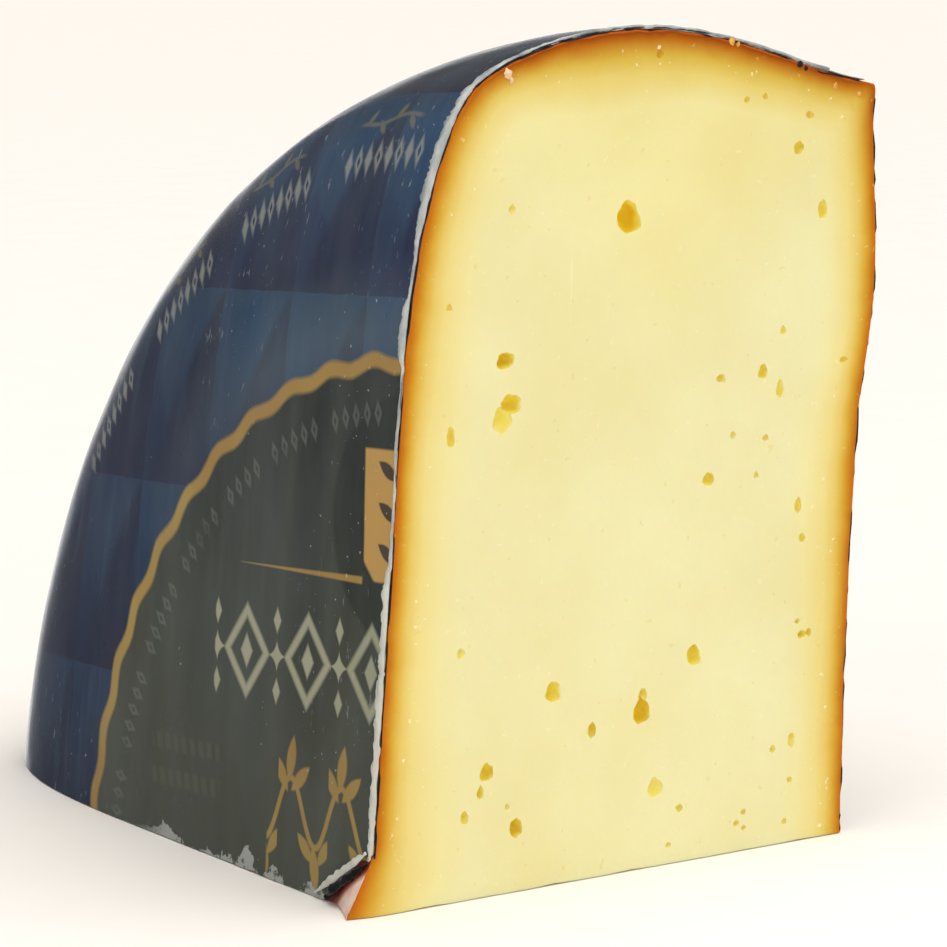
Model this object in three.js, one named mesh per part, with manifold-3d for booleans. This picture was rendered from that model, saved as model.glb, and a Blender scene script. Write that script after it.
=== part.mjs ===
// A quarter of an aged cheese wheel, standing on one of its two cut faces.
// Millimetres, +Z up. The wheel's axis runs along X, a few degrees nose down:
// its flat front faces -X, the upright cut face faces -Y, the other cut is the base.
// Three pieces: the cheese with its rind, the dark coating painted on the rind,
// and the printed label stuck on the front, the shoulder and half of the rim.
import * as THREE from 'three';
import { mergeVertices } from 'three/addons/utils/BufferGeometryUtils.js';
import Module from 'manifold-3d';

const wasm = await Module();
wasm.setup();

// The wheel, measured on its rind. Depths start at the front flat and run along the
// axis, drops start at the crown and run towards the axis.
const crownRadius = 168.8; // widest point of the rim
const crownDepth = 50.7;
const wheelThickness = 104.4; // front flat to the hollow of the back flat

// The front shoulder, an easy curve from the flat to the crown
const shoulderDrop = 67; // where the flat ends
const shoulderTurnDepth = 12; // its tightest stretch
const shoulderTurnDrop = 11.5;
const shoulderTurnAngle = 37; // degrees between the shoulder there and the axis

// The back edge is a sharp lip. The back flat swells below it and is hollow further in.
const lipDrop = 7.6;
const lipSetback = 1.8; // in front of the hollow of the back flat
const lipSlope = 5; // degrees that the rim falls towards the lip
const lipHeight = 4.4; // the steep bit between the rim and the back flat
const swell = 1.7; // how far the swelling stands behind the hollow
const swellDrop = 47;
const hollowDrop = 69;
const belly = 3.6; // how far the middle of the back flat stands behind the hollow
const bellyHalfway = 1.2; // and how far halfway in

// How far the outline holds its direction on leaving each of its turning points
const flatRun = 35.5;
const turnRunIn = 5;
const turnRunOut = 13;
const crownRunIn = 10.8;
const crownRunOut = 22;
const lipRun = 18.7;

// The two cuts. Neither goes through the wheel's axis, so the wedge is under a quarter.
const cutPastAxis = 8.3; // the upright cut is this far behind the axis
const basePastAxis = 8.1; // the base is this far above it, at the front flat
const baseTilt = 4.37; // degrees between the base and the axis

// Skins on the rind
const skinGap = 0.3; // clearance between one layer and the next
const coatingThickness = 0.4;
const labelThickness = 0.3;
const labelReach = 69.7; // depth that the label ends at, on the rim

// The corner torn off label and coating where the two cuts meet on the front flat
const tearHeight = 11;
const tearWidth = 17;

// The larger eyes in the upright cut face. Their places are shares of the wheel's
// thickness and of its crown radius, their sizes are millimetres.
const eyes = [
  { across: 0.55, up: 0.73, width: 5.2, height: 6, depth: 3.4 },
  { across: 0.29, up: 0.58, width: 3.8, height: 3.4, depth: 2.8 },
  { across: 0.3, up: 0.535, width: 4.4, height: 3.8, depth: 2.4 },
  { across: 0.7, up: 0.235, width: 3.4, height: 4.2, depth: 2.6 },
  { across: 0.585, up: 0.182, width: 3.8, height: 5.2, depth: 3 },
  { across: 0.39, up: 0.215, width: 3.2, height: 4, depth: 1.6 },
  { across: 0.25, up: 0.138, width: 3, height: 3.6, depth: 2.4 },
  { across: 0.31, up: 0.071, width: 2.8, height: 3.8, depth: 2.4 },
  { across: 0.73, up: 0.43, width: 2.6, height: 2.8, depth: 2 },
];

// Fineness of the facets
const wheelFacets = 96;
const curveFacets = 6;

// ---- the wheel's outline, as points (depth, radius) from axis to axis ----

const atDrop = (depth, drop) => new THREE.Vector2(depth, crownRadius - drop);

// The point that lies a run away from another, at an angle to the axis
function ahead(point, run, degrees) {
  const angle = THREE.MathUtils.degToRad(degrees);
  return new THREE.Vector2(Math.cos(angle), Math.sin(angle)).multiplyScalar(run).add(point);
}

function wheelOutline() {
  const flatEdge = atDrop(0, shoulderDrop);
  const turn = atDrop(shoulderTurnDepth, shoulderTurnDrop);
  const crown = atDrop(crownDepth, 0);
  const lip = atDrop(wheelThickness - lipSetback, lipDrop);
  const lipFoot = atDrop(wheelThickness - lipSetback, lipDrop + lipHeight);
  const swelling = atDrop(wheelThickness + swell, swellDrop);
  const hollow = atDrop(wheelThickness, hollowDrop);
  const halfwayIn = new THREE.Vector2(wheelThickness + bellyHalfway, hollow.y / 2);
  const centre = new THREE.Vector2(wheelThickness + belly, 0);

  const shoulder = new THREE.CubicBezierCurve(
    flatEdge,
    ahead(flatEdge, flatRun, 90),
    ahead(turn, -turnRunIn, shoulderTurnAngle),
    turn,
  );
  const rimFront = new THREE.CubicBezierCurve(
    turn,
    ahead(turn, turnRunOut, shoulderTurnAngle),
    ahead(crown, -crownRunIn, 0),
    crown,
  );
  const rimBack = new THREE.CubicBezierCurve(
    crown,
    ahead(crown, crownRunOut, 0),
    ahead(lip, -lipRun, -lipSlope),
    lip,
  );
  const lipToSwelling = lipFoot.clone().lerp(swelling, 0.5);
  const back = new THREE.SplineCurve([
    lipFoot,
    lipToSwelling,
    swelling,
    hollow,
    halfwayIn,
    centre,
  ]);
  return [
    new THREE.Vector2(0, 0),
    ...shoulder.getPoints(curveFacets),
    ...rimFront.getPoints(curveFacets).slice(1),
    ...rimBack.getPoints(curveFacets).slice(1),
    ...back.getPoints(2 * curveFacets),
  ];
}

// The same outline moved outwards by a distance, with its corners mitred
function grown(outline, distance) {
  const normalAfter = (i) => {
    const along = outline[i + 1].clone().sub(outline[i]).normalize();
    return new THREE.Vector2(-along.y, along.x);
  };
  return outline.map((point, i) => {
    const before = normalAfter(Math.max(i - 1, 0));
    const after = normalAfter(Math.min(i, outline.length - 2));
    const middle = before.clone().add(after).normalize();
    const moved = point.clone().addScaledVector(middle, distance / middle.dot(after));
    return point.y === 0 ? moved.setY(0) : moved;
  });
}

// ---- solids ----

function solidFrom(geometry, matrix = new THREE.Matrix4()) {
  const bare = geometry.clone().applyMatrix4(matrix);
  bare.deleteAttribute('normal');
  bare.deleteAttribute('uv');
  const merged = mergeVertices(bare, 1e-4);
  return new wasm.Manifold(
    new wasm.Mesh({
      numProp: 3,
      vertProperties: merged.attributes.position.array,
      triVerts: Uint32Array.from(merged.index.array),
    }),
  );
}

function geometryFrom(solid) {
  const { vertProperties, triVerts } = solid.getMesh();
  const shared = new THREE.BufferGeometry();
  shared.setAttribute('position', new THREE.BufferAttribute(vertProperties, 3));
  shared.setIndex(new THREE.BufferAttribute(triVerts, 1));
  const faceted = shared.toNonIndexed();
  faceted.computeVertexNormals();
  return faceted;
}

// A lathe turns about its own Y, which is laid along the wheel's axis. The front flat,
// the upright cut and the base meet at the origin.
const tilt = THREE.MathUtils.degToRad(baseTilt);
const wheelUp = new THREE.Vector3(Math.sin(tilt), 0, Math.cos(tilt));
const wheelAxis = new THREE.Vector3(Math.cos(tilt), 0, -Math.sin(tilt));
const backwards = new THREE.Vector3(0, 1, 0);
const wheelPlace = new THREE.Matrix4()
  .makeBasis(wheelUp, wheelAxis, backwards)
  .setPosition(
    new THREE.Vector3()
      .addScaledVector(wheelUp, -basePastAxis)
      .addScaledVector(backwards, -cutPastAxis),
  );

function wheel(outline) {
  const profile = outline.map(({ x: depth, y: radius }) => new THREE.Vector2(radius, depth));
  return solidFrom(new THREE.LatheGeometry(profile, wheelFacets), wheelPlace);
}

// Everything behind the upright cut and above the base
const beyond = 3 * crownRadius;
const wedge = solidFrom(
  new THREE.BoxGeometry(2 * beyond, beyond, beyond).translate(0, beyond / 2, beyond / 2),
);

// Everything in front of the label's far edge
const labelSide = solidFrom(
  new THREE.BoxGeometry(2 * beyond, beyond, 2 * beyond).translate(0, labelReach - beyond / 2, 0),
  wheelPlace,
);

// A prism along X, from well in front of the front flat to well inside the wheel, whose
// slanted side is the line of the tear
function tornCorner() {
  const triangle = new THREE.Shape([
    new THREE.Vector2(-tearWidth, -tearHeight),
    new THREE.Vector2(2 * tearWidth, -tearHeight),
    new THREE.Vector2(-tearWidth, 2 * tearHeight),
  ]);
  const depth = wheelThickness / 2;
  const prism = new THREE.ExtrudeGeometry(triangle, { depth, bevelEnabled: false });
  prism.translate(0, 0, -depth / 2);
  const alongX = new THREE.Matrix4().makeBasis(
    new THREE.Vector3(0, 1, 0),
    new THREE.Vector3(0, 0, 1),
    new THREE.Vector3(1, 0, 0),
  );
  return solidFrom(prism, alongX);
}

function eyeSolid({ across, up, width, height, depth }) {
  const ball = new THREE.IcosahedronGeometry(1, 1);
  ball.scale(width / 2, depth, height / 2);
  ball.translate(across * wheelThickness, 0, up * crownRadius);
  return solidFrom(ball);
}

const rind = wheelOutline();
const underLabel = 2 * skinGap + coatingThickness;

const cheese = eyes.reduce(
  (body, eye) => body.subtract(eyeSolid(eye)),
  wheel(rind).intersect(wedge),
);
const coating = wheel(grown(rind, skinGap + coatingThickness))
  .subtract(wheel(grown(rind, skinGap)))
  .intersect(wedge)
  .subtract(tornCorner());
const label = wheel(grown(rind, underLabel + labelThickness))
  .subtract(wheel(grown(rind, underLabel)))
  .intersect(labelSide)
  .intersect(wedge)
  .subtract(tornCorner());

// ---- the scene graph ----

function piece(name, solid, colour, roughness) {
  const material = new THREE.MeshStandardMaterial({ color: colour, roughness, metalness: 0 });
  const mesh = new THREE.Mesh(geometryFrom(solid), material);
  mesh.name = name;
  return mesh;
}

const cheeseWedge = new THREE.Group();
cheeseWedge.add(
  piece('cheese', cheese, 0xeddc96, 0.5),
  piece('rind_coating', coating, 0x2a201c, 0.4),
  piece('front_label', label, 0x2c3f63, 0.25),
);

// The origin goes to the middle of the base.
const size = new THREE.Box3().setFromObject(cheeseWedge);
const middle = size.getCenter(new THREE.Vector3());
cheeseWedge.position.set(-middle.x, -middle.y, -size.min.z);

export default cheeseWedge;
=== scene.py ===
import math

import bmesh
import bpy
import numpy as np
from mathutils import Matrix, Vector, geometry, noise


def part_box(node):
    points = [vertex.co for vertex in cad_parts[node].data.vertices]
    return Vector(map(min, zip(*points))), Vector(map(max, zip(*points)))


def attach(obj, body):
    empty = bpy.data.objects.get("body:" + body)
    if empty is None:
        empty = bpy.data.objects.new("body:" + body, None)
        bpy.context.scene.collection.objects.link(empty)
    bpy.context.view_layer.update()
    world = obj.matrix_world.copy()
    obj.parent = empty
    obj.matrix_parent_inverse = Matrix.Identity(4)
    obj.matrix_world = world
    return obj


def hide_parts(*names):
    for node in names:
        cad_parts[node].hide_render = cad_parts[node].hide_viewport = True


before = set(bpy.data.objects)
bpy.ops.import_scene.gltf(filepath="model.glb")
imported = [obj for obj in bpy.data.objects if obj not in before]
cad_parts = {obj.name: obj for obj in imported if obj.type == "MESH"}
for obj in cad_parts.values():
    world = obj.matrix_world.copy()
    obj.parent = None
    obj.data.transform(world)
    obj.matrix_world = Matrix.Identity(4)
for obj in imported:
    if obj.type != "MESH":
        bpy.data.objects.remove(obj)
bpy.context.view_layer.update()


# ---- Cheese ----
# A quarter of a ripened wheel: firm pale yellow paste that turns orange-brown and glassy in its
# last centimetre, where it dried into a rind. It was pressed in a round mould and cut twice with
# a long knife, once upright and once where it stands, so both cuts are flat and show its eyes.
mm = 0.001
wheel_corner, wheel_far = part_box("cheese")
label_corner, label_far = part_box("front_label")
cut_y = wheel_corner.y
foot = Vector((label_corner.x, cut_y, 0))
base_tilt = math.radians(4.37)
wheel_up = Vector((math.sin(base_tilt), 0, math.cos(base_tilt)))
past_axis = Vector((0, 8.3 * mm, 0)) + wheel_up * 8.1 * mm
wheel_place = Matrix.Translation(wheel_corner - past_axis) @ Matrix.Rotation(base_tilt, 4, "Y")
wheel_frame = wheel_place.inverted()

# The outline of half the wheel: depth behind the front flat, radius, and the run and angle in
# degrees of the handle that leaves the point and of the one that arrives at it.
thickness = 104.4
crown = 168.8
outline_points = [
    (0, 0, (33, 90), (0, 0)),
    (0, crown - 67, (35.5, 90), (33, 90)),
    (12, crown - 11.5, (13, 37), (5, 37)),
    (50.7, crown, (22, 0), (10.8, 0)),
    (thickness - 1.8, crown - 7.6, (1.2, -75), (18.7, -5)),
    (thickness - 1.8, crown - 12, (8, -85), (1.2, -100)),
    (thickness + 1.7, crown - 46, (9, -90), (12, -88)),
    (thickness, crown - 69, (16, -90), (8, -92)),
    (thickness + 1.2, 49, (16, -86), (16, -88)),
    (thickness + 3.6, 0, (0, 0), (16, -90)),
]


def pick(piece):
    """Selects one piece alone, and makes it the active one."""
    bpy.ops.object.select_all(action="DESELECT")
    bpy.context.view_layer.objects.active = piece
    piece.select_set(True)


def edit(piece):
    """Goes into edit mode on one piece, with everything on it selected."""
    pick(piece)
    bpy.ops.object.mode_set(mode="EDIT")
    bpy.ops.mesh.select_mode(type="VERT")
    bpy.ops.mesh.select_all(action="SELECT")


def done():
    bpy.ops.object.mode_set(mode="OBJECT")


def wheel_skin(name, steps, fineness, proud, points=len(outline_points)):
    """The wheel's outer surface, turned from its outline, standing proud of the paste in mm."""
    bpy.ops.object.select_all(action="DESELECT")
    bpy.ops.curve.primitive_bezier_curve_add(location=(0, 0, 0))
    piece = bpy.context.object
    piece.name = name
    piece.data.resolution_u = fineness
    spline = piece.data.splines[0]
    spline.bezier_points.add(points - len(spline.bezier_points))
    for point, (depth, radius, leaves, arrives) in zip(spline.bezier_points, outline_points):
        point.handle_left_type = point.handle_right_type = "FREE"
        place = Vector((depth, radius, 0))
        turn_out, turn_in = math.radians(leaves[1]), math.radians(arrives[1])
        out = Vector((math.cos(turn_out), math.sin(turn_out), 0)) * leaves[0]
        into = Vector((math.cos(turn_in), math.sin(turn_in), 0)) * arrives[0]
        point.co = place * mm
        point.handle_right = (place + out) * mm
        point.handle_left = (place - into) * mm
    bpy.ops.object.convert(target="MESH")
    edit(piece)
    bpy.ops.mesh.remove_doubles(threshold=0.01 * mm)
    bpy.ops.mesh.select_all(action="SELECT")
    bpy.ops.mesh.spin(steps=steps, angle=math.radians(360), center=(0, 0, 0), axis=(-1, 0, 0))
    bpy.ops.mesh.select_all(action="SELECT")
    bpy.ops.mesh.remove_doubles(threshold=0.02 * mm)
    bpy.ops.mesh.normals_make_consistent(inside=False)
    nearest = min(bmesh.from_edit_mesh(piece.data).faces, key=lambda f: f.calc_center_median().x)
    if nearest.normal.x > 0:
        bpy.ops.mesh.flip_normals()
    bpy.ops.transform.shrink_fatten(value=proud * mm)
    done()
    piece.data.transform(wheel_place)
    return piece


def choose(piece, faces):
    """Selects, in edit mode, only the faces that a test picks out."""
    bpy.ops.mesh.select_mode(type="FACE")
    bpy.ops.mesh.select_all(action="DESELECT")
    shape = bmesh.from_edit_mesh(piece.data)
    for face in shape.faces:
        if faces(face):
            face.select_set(True)
    bmesh.update_edit_mesh(piece.data)


def knife(piece, place, away, fill=False, faces=None, keep=False):
    """One straight cut. What lies on the far side of it is taken off, unless it is kept."""
    edit(piece)
    if faces:
        choose(piece, faces)
    bpy.ops.mesh.bisect(plane_co=place, plane_no=away, use_fill=fill, clear_outer=not keep)
    done()


def cross_hatch(piece, faces, first, last, step, along):
    """Rules the chosen faces with knife lines a step apart, so that colour can follow them."""
    travel = Vector(last) - Vector(first)
    lines = int(travel.dot(along) / (step * mm))
    edit(piece)
    for line in range(1, lines + 1):
        choose(piece, faces)
        bpy.ops.mesh.bisect(plane_co=Vector(first) + along * line * step * mm, plane_no=along)
    done()


paste_proud = 0.8
cheese = wheel_skin("cheese_body", 180, 14, proud=paste_proud)
knife(cheese, (0, cut_y, 0), (0, -1, 0), fill=True)
knife(cheese, (0, 0, 0), (0, 0, -1), fill=True)
edit(cheese)
bpy.ops.mesh.select_mode(type="EDGE")
bpy.ops.mesh.select_all(action="DESELECT")
shape = bmesh.from_edit_mesh(cheese.data)
for edge in shape.edges:
    off_floor = max(vertex.co.z for vertex in edge.verts) > 1 * mm
    if off_floor and len(edge.link_faces) == 2 and edge.calc_face_angle(0) > 0.9:
        edge.select_set(True)
bmesh.update_edit_mesh(cheese.data)
bpy.ops.mesh.bevel(offset=0.35 * mm, segments=2, affect="EDGES", clamp_overlap=False)
done()


def on_cut(face):
    return face.normal.y < -0.999


def on_base(face):
    return face.normal.z < -0.999


torn_corner = Vector((0, 22, 18)) * mm


def by_torn_corner(face):
    middle = face.calc_center_median() - foot
    return face.normal.x < -0.98 and middle.y < torn_corner.y and middle.z < torn_corner.z


rightward, backward, upward = Vector((1, 0, 0)), Vector((0, 1, 0)), Vector((0, 0, 1))
hatchings = [
    (on_cut, wheel_corner, wheel_far, 2.0, (rightward, upward)),
    (on_base, wheel_corner, wheel_far, 2.4, (rightward, backward)),
    (by_torn_corner, foot, foot + torn_corner, 1.0, (backward, upward)),
]
for faces, first, last, step, ways in hatchings:
    for way in ways:
        cross_hatch(cheese, faces, first, last, step, way)
edit(cheese)
bpy.ops.mesh.quads_convert_to_tris(quad_method="BEAUTY", ngon_method="BEAUTY")
done()

# The eyes: across from the label and up from the floor, width and height of the mouth, depth.
eye_mouths = [
    (57.6, 123.0, 5.3, 6.0, 3.2), (30.1, 98.5, 3.9, 3.3, 2.6), (31.2, 90.6, 4.4, 3.6, 2.2),
    (29.2, 87.9, 4.0, 5.1, 0.9), (17.9, 85.6, 1.9, 3.9, 1.0), (73.4, 39.5, 3.3, 4.3, 1.9),
    (61.2, 30.4, 3.9, 5.2, 3.0), (61.5, 33.4, 1.9, 2.6, 1.3), (40.8, 36.4, 3.2, 4.1, 1.6),
    (49.7, 28.1, 1.9, 3.0, 1.8), (25.8, 23.3, 3.1, 3.4, 2.0), (24.4, 19.7, 1.5, 2.4, 1.2),
    (20.9, 15.5, 1.8, 2.4, 1.1), (32.4, 12.0, 2.8, 3.9, 2.4), (64.4, 15.1, 3.4, 4.0, 0.8),
    (70.3, 10.4, 1.7, 1.7, 1.0), (20.2, 46.0, 1.8, 2.2, 0.6), (76.5, 72.8, 2.6, 2.7, 1.6),
    (89.4, 92.1, 2.2, 2.9, 1.4), (79.3, 91.5, 2.1, 1.7, 1.0), (93.6, 88.4, 1.9, 3.8, 1.0),
    (97.4, 133.8, 2.4, 2.4, 1.4), (103.5, 122.0, 2.2, 3.8, 1.2), (98.3, 65.7, 1.7, 3.1, 1.2),
    (99.4, 59.3, 1.6, 1.7, 0.9), (98.4, 43.2, 1.3, 1.1, 0.7), (99.5, 40.5, 2.3, 1.5, 1.2),
    (101.2, 40.7, 1.3, 1.7, 1.0), (97.3, 20.1, 1.6, 3.0, 0.8), (92.7, 18.9, 1.5, 1.5, 0.8),
    (97.0, 12.2, 1.3, 1.3, 0.7), (95.8, 4.2, 1.2, 1.2, 0.6), (85.7, 7.5, 1.2, 1.3, 0.7),
    (84.0, 5.5, 1.5, 1.2, 0.7), (85.8, 4.3, 1.3, 1.1, 0.6), (67.7, 3.6, 1.3, 1.2, 0.6),
    (82.3, 80.6, 1.4, 1.5, 0.8), (90.1, 79.4, 1.6, 1.4, 0.8), (88.0, 72.5, 1.2, 1.4, 0.6),
    (94.1, 99.6, 1.5, 1.7, 0.8), (109.0, 92.9, 2.0, 1.2, 0.6), (84.8, 143.3, 1.3, 1.2, 0.6),
    (89.1, 143.8, 1.2, 1.3, 0.6), (100.0, 139.9, 1.9, 1.5, 0.8), (31.4, 125.8, 1.4, 1.8, 0.6),
    (17.7, 109.0, 1.3, 1.4, 0.6), (64.4, 152.4, 1.8, 1.5, 0.6), (30.4, 16.2, 1.1, 1.2, 0.5),
]


def ball(fineness):
    """A round ball of radius 1 for an eye or a crumb to be shaped from."""
    bpy.ops.object.select_all(action="DESELECT")
    bpy.ops.mesh.primitive_ico_sphere_add(subdivisions=fineness, radius=1, location=(0, 0, 0))
    return bpy.context.object


blown = []
for number, (across, up, wide, high, deep) in enumerate(eye_mouths):
    eye = ball(4 if wide > 1.8 else 3)
    centre = foot + Vector((across, 0.0, up)) * mm
    for vertex in eye.data.vertices:
        way = vertex.co.normalized()
        seed = Vector((number * 7.3, number * 2.1, 0))
        swell = 1 + 0.26 * noise.noise(way * 1.2 + seed) + 0.07 * noise.noise(way * 3.1 + seed)
        sag = 1 - 0.18 * way.z if high > wide else 1
        out = Vector((
            way.x * wide / 2 * swell * sag,
            way.y * deep * 0.75 * swell,
            way.z * high / 2 * swell))
        vertex.co = centre + out * mm
    blown.append(eye)

# A few more eyes, at random, in the cut that it stands on.
generator = np.random.default_rng(11)
for number in range(26):
    eye = ball(2)
    size = 0.7 + 2.2 * generator.random() ** 2
    centre = foot + Vector((14 + 84 * generator.random(), 16 + 118 * generator.random(), 0)) * mm
    for vertex in eye.data.vertices:
        way = vertex.co.normalized()
        swell = 1 + 0.25 * noise.noise(way * 1.3 + Vector((number * 3.7, 9, 1)))
        vertex.co = centre + way * size * swell * mm
    blown.append(eye)
bpy.ops.object.select_all(action="DESELECT")
for eye in blown:
    eye.select_set(True)
bpy.context.view_layer.objects.active = blown[0]
bpy.ops.object.join()
eyes = bpy.context.object
eyes.name = "eyes"


def hollow_out(piece, bubbles):
    """Takes the shape of the bubbles out of a piece, and the bubbles away."""
    pick(piece)
    cutter = piece.modifiers.new("hollows", "BOOLEAN")
    cutter.operation = "DIFFERENCE"
    cutter.solver = "EXACT"
    cutter.use_self = True
    cutter.object = bubbles
    bpy.ops.object.modifier_apply(modifier=cutter.name)
    bpy.data.objects.remove(bubbles)


hollow_out(cheese, eyes)

# How far each point of the paste lies from the rind, in mm, along the turned outline.
outline = []
for (depth, radius, leaves, _), (next_depth, next_radius, _, arrives) in zip(
        outline_points, outline_points[1:]):
    out, into = math.radians(leaves[1]), math.radians(arrives[1])
    here, there = Vector((depth, radius, 0)), Vector((next_depth, next_radius, 0))
    run = here + Vector((math.cos(out), math.sin(out), 0)) * leaves[0]
    stop = there - Vector((math.cos(into), math.sin(into), 0)) * arrives[0]
    outline += [point[:2] for point in geometry.interpolate_bezier(here, run, stop, there, 24)[:-1]]
outline = np.array(outline + [outline_points[-1][:2]])
slope = np.gradient(outline, axis=0)
slope /= np.linalg.norm(slope, axis=1)[:, None]
outline += np.stack([-slope[:, 1], slope[:, 0]], axis=1) * paste_proud
outline_run = np.concatenate([[0], np.cumsum(np.linalg.norm(np.diff(outline, axis=0), axis=1))])


def places(piece):
    """Every vertex of a piece, in mm: across, back and up from the foot of the cut."""
    flat = np.empty(len(piece.data.vertices) * 3)
    piece.data.vertices.foreach_get("co", flat)
    return (flat.reshape(-1, 3) - np.array(foot)) / mm


def put_places(piece, here):
    """Moves every vertex of a piece to its place, in mm from the foot of the cut."""
    piece.data.vertices.foreach_set("co", (here * mm + np.array(foot)).ravel())


def facings(piece):
    """Which way the skin faces at every vertex of a piece."""
    return [np.array(vertex.normal) for vertex in piece.data.vertices]


def wheel_places(piece):
    """Depth, radius and turn round the wheel's axis of every vertex, in mm and radians."""
    turned = np.array(wheel_frame)
    world = places(piece) * mm + np.array(foot)
    local = (world @ turned[:3, :3].T + turned[:3, 3]) / mm
    return local[:, 0], np.hypot(local[:, 1], local[:, 2]), np.arctan2(local[:, 2], local[:, 1])


def from_outline(depth, radius, first=0.0, last=1e9):
    """Distance to a stretch of the outline, and where along it the nearest point is, in mm."""
    best = np.full(len(depth), 1e9)
    where = np.zeros(len(depth))
    for start, end, run, next_run in zip(outline, outline[1:], outline_run, outline_run[1:]):
        if run < first - 0.01 or next_run > last + 0.01:
            continue
        span = end - start
        part = ((depth - start[0]) * span[0] + (radius - start[1]) * span[1]) / (span @ span)
        part = np.clip(part, 0, 1)
        gap = np.hypot(depth - start[0] - part * span[0], radius - start[1] - part * span[1])
        nearer = gap < best
        best[nearer] = gap[nearer]
        where[nearer] = (run + part * (next_run - run))[nearer]
    return best, where


def note(piece, name, values):
    """Writes three numbers on each vertex, for the piece's material to read."""
    layer = piece.data.attributes.new(name, "FLOAT_VECTOR", "POINT")
    layer.data.foreach_set("vector", np.ascontiguousarray(values, dtype=np.float32).ravel())


def run_to(point):
    """How far along the outline one of its points lies, in mm."""
    return outline_run[np.argmin(np.hypot(outline[:, 0] - point[0], outline[:, 1] - point[1]))]


depth, radius, _ = wheel_places(cheese)
here = places(cheese)
shoulder_run = run_to(outline_points[2])
lip_run = run_to(outline_points[5])
to_flat = from_outline(depth, radius, 0, shoulder_run)[0]
to_rim = from_outline(depth, radius, shoulder_run, lip_run)[0]
to_back = from_outline(depth, radius, lip_run, outline_run[-1])[0]
to_rind = np.minimum(np.minimum(to_flat, to_rim), to_back)


def wobble(x, y, z):
    """Smooth noise at a place, from about -1 to 1."""
    return noise.noise(Vector((x, y, z)))


# The paste pales inwards from the rind, at a different rate from the flat, the rim and the back.
flat_rate, rim_rate, back_rate = 1.15, 1.28, 1.30
drift = np.array([wobble(x / 21, 3.3, z / 27) for x, _, z in here])
ripeness = np.minimum(np.minimum(to_flat * flat_rate, to_rim * rim_rate), to_back * back_rate)
ripeness *= 1 - 0.28 * drift
pull = [np.exp(-gap / 5) for gap in (to_flat, to_rim, to_back)]
on_rim = pull[1] / (pull[0] + pull[1] + pull[2])
skin = to_rind < 0.05
# How deep each point lies below the two cuts, which drives the painted shade inside the eyes.
deep_in = np.where(skin, 0, np.clip(np.minimum(here[:, 1], here[:, 2]) / 2.0, 0, 1))
note(cheese, "ripeness", np.stack([ripeness, on_rim, deep_in], axis=1))

# The label tore along a slanting line: how far back and up its slope faces, and its height in mm.
tear_back, tear_up = 0.592, 0.806
tear_height = 8.0
from_tear = tear_height - (here[:, 1] * tear_back + here[:, 2] * tear_up)
# Noted only near the label, for the painted flap shadow on the rind.
note(cheese, "tear", np.stack([np.where(here[:, 0] < 20, from_tear, 20)] * 3, axis=1))

# The corner by the label was bent outwards when the label tore, and the base edge is nicked.
moved = here.copy()
near = np.clip(1 - here[:, 1] / 11, 0, 1) * np.clip(1 - here[:, 2] / 11.5, 0, 1)
near = near ** 1.05 * np.clip(1 - (here[:, 0] - 1) / 7, 0, 1)
moved[:, 0] -= 4.4 * near
moved[:, 1] += 1.4 * near * np.clip(1 - here[:, 0] / 5, 0, 1)
for index in np.nonzero(here[:, 2] < 6)[0]:
    x, y, z = here[index]
    lift = max(0, wobble(x / 9, y / 9, 4.2)) * 0.3 + 0.08 * wobble(x / 2, y / 2, 1)
    edge = np.clip(1 - y / 2.5, 0, 1) * np.clip(x / 14, 0, 1)
    moved[index, 2] += max(0, lift) * (1 - z / 6) * edge
for index in np.nonzero(here[:, 1] < 0.5)[0]:
    x, y, z = here[index]
    moved[index, 1] += 0.16 * wobble(x / 14, 2, z / 17) + 0.05 * wobble(x / 3, 5, z / 4)
put_places(cheese, moved)
cheese.data.update()
pick(cheese)
bpy.ops.object.shade_smooth_by_angle(angle=math.radians(38))


def dye(red, green, blue):
    """A colour as it is seen, 0 to 255, turned into the light that it gives back."""
    tones = [tone / 255 for tone in (red, green, blue)]
    return tuple(t / 12.92 if t <= 0.04045 else ((t + 0.055) / 1.055) ** 2.4 for t in tones) + (1,)


def material(name):
    """A new material, with its node tree and its shader."""
    made = bpy.data.materials.new(name)
    made.use_nodes = True
    return made, made.node_tree, made.node_tree.nodes["Principled BSDF"]


def node(tree, kind, **settings):
    made = tree.nodes.new(kind)
    for setting, value in settings.items():
        setattr(made, setting, value)
    return made


def feed(tree, target, source):
    """Links a socket in, or sets a plain value."""
    if isinstance(source, bpy.types.NodeSocket):
        tree.links.new(source, target)
    else:
        target.default_value = source


def math_node(tree, operation, *inputs):
    made = node(tree, "ShaderNodeMath", operation=operation)
    for socket, value in zip(made.inputs, inputs):
        feed(tree, socket, value)
    return made.outputs[0]


def ramp(tree, source, stops):
    """Turns a number into a colour, through stops of a place from 0 to 1 and its colour."""
    made = node(tree, "ShaderNodeValToRGB")
    while len(made.color_ramp.elements) < len(stops):
        made.color_ramp.elements.new(0.5)
    for element, (place, colour) in zip(made.color_ramp.elements, stops):
        element.position = place
        element.color = colour
    feed(tree, made.inputs[0], source)
    return made.outputs[0]


def blend(tree, amount, first, second, kind="MIX"):
    """Lays the second colour over the first."""
    made = node(tree, "ShaderNodeMix", data_type="RGBA", blend_type=kind)
    feed(tree, made.inputs[0], amount)
    feed(tree, made.inputs[6], first)
    feed(tree, made.inputs[7], second)
    return made.outputs[2]


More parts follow.
